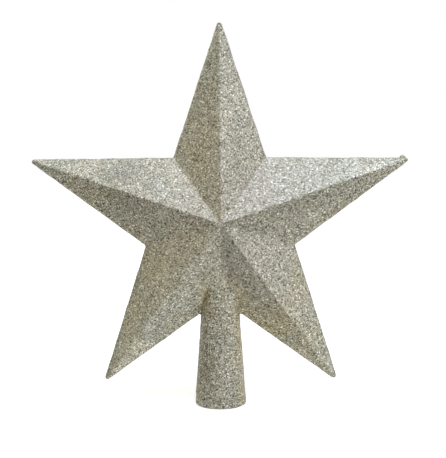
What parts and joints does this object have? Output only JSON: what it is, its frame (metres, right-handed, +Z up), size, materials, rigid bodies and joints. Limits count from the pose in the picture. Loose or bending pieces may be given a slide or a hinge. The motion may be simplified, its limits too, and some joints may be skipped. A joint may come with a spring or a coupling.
{
  "type": "tree topper star",
  "caption": "Hollow glittered five-pointed star with ridged arms and a tapered socket that slides over the top shoot of a Christmas tree.",
  "frame": {"origin": "middle of the socket's mouth, on the face that the star stands on", "axes": "+Z up along the socket to the top arm's tip; the pictured front faces -Y; +X to the right seen from the front; the halves part on the plane Y = 0"},
  "size_m": [0.1858, 0.0444, 0.1891],
  "materials": {
    "shell_plastic": "plain moulded champagne polystyrene, semi-gloss, bare inside the socket",
    "adhesive": "cloudy cured solvent adhesive, sealed inside the seam",
    "glitter": "dense champagne-silver metallised glitter flakes about half a millimetre across, set in clear lacquer at mixed tilts"
  },
  "bodies": {
    "root": {"front_shell": "shell_plastic", "back_shell": "shell_plastic", "seam_bond": "adhesive", "glitter_coat": "glitter"}
  },
  "joints": []
}
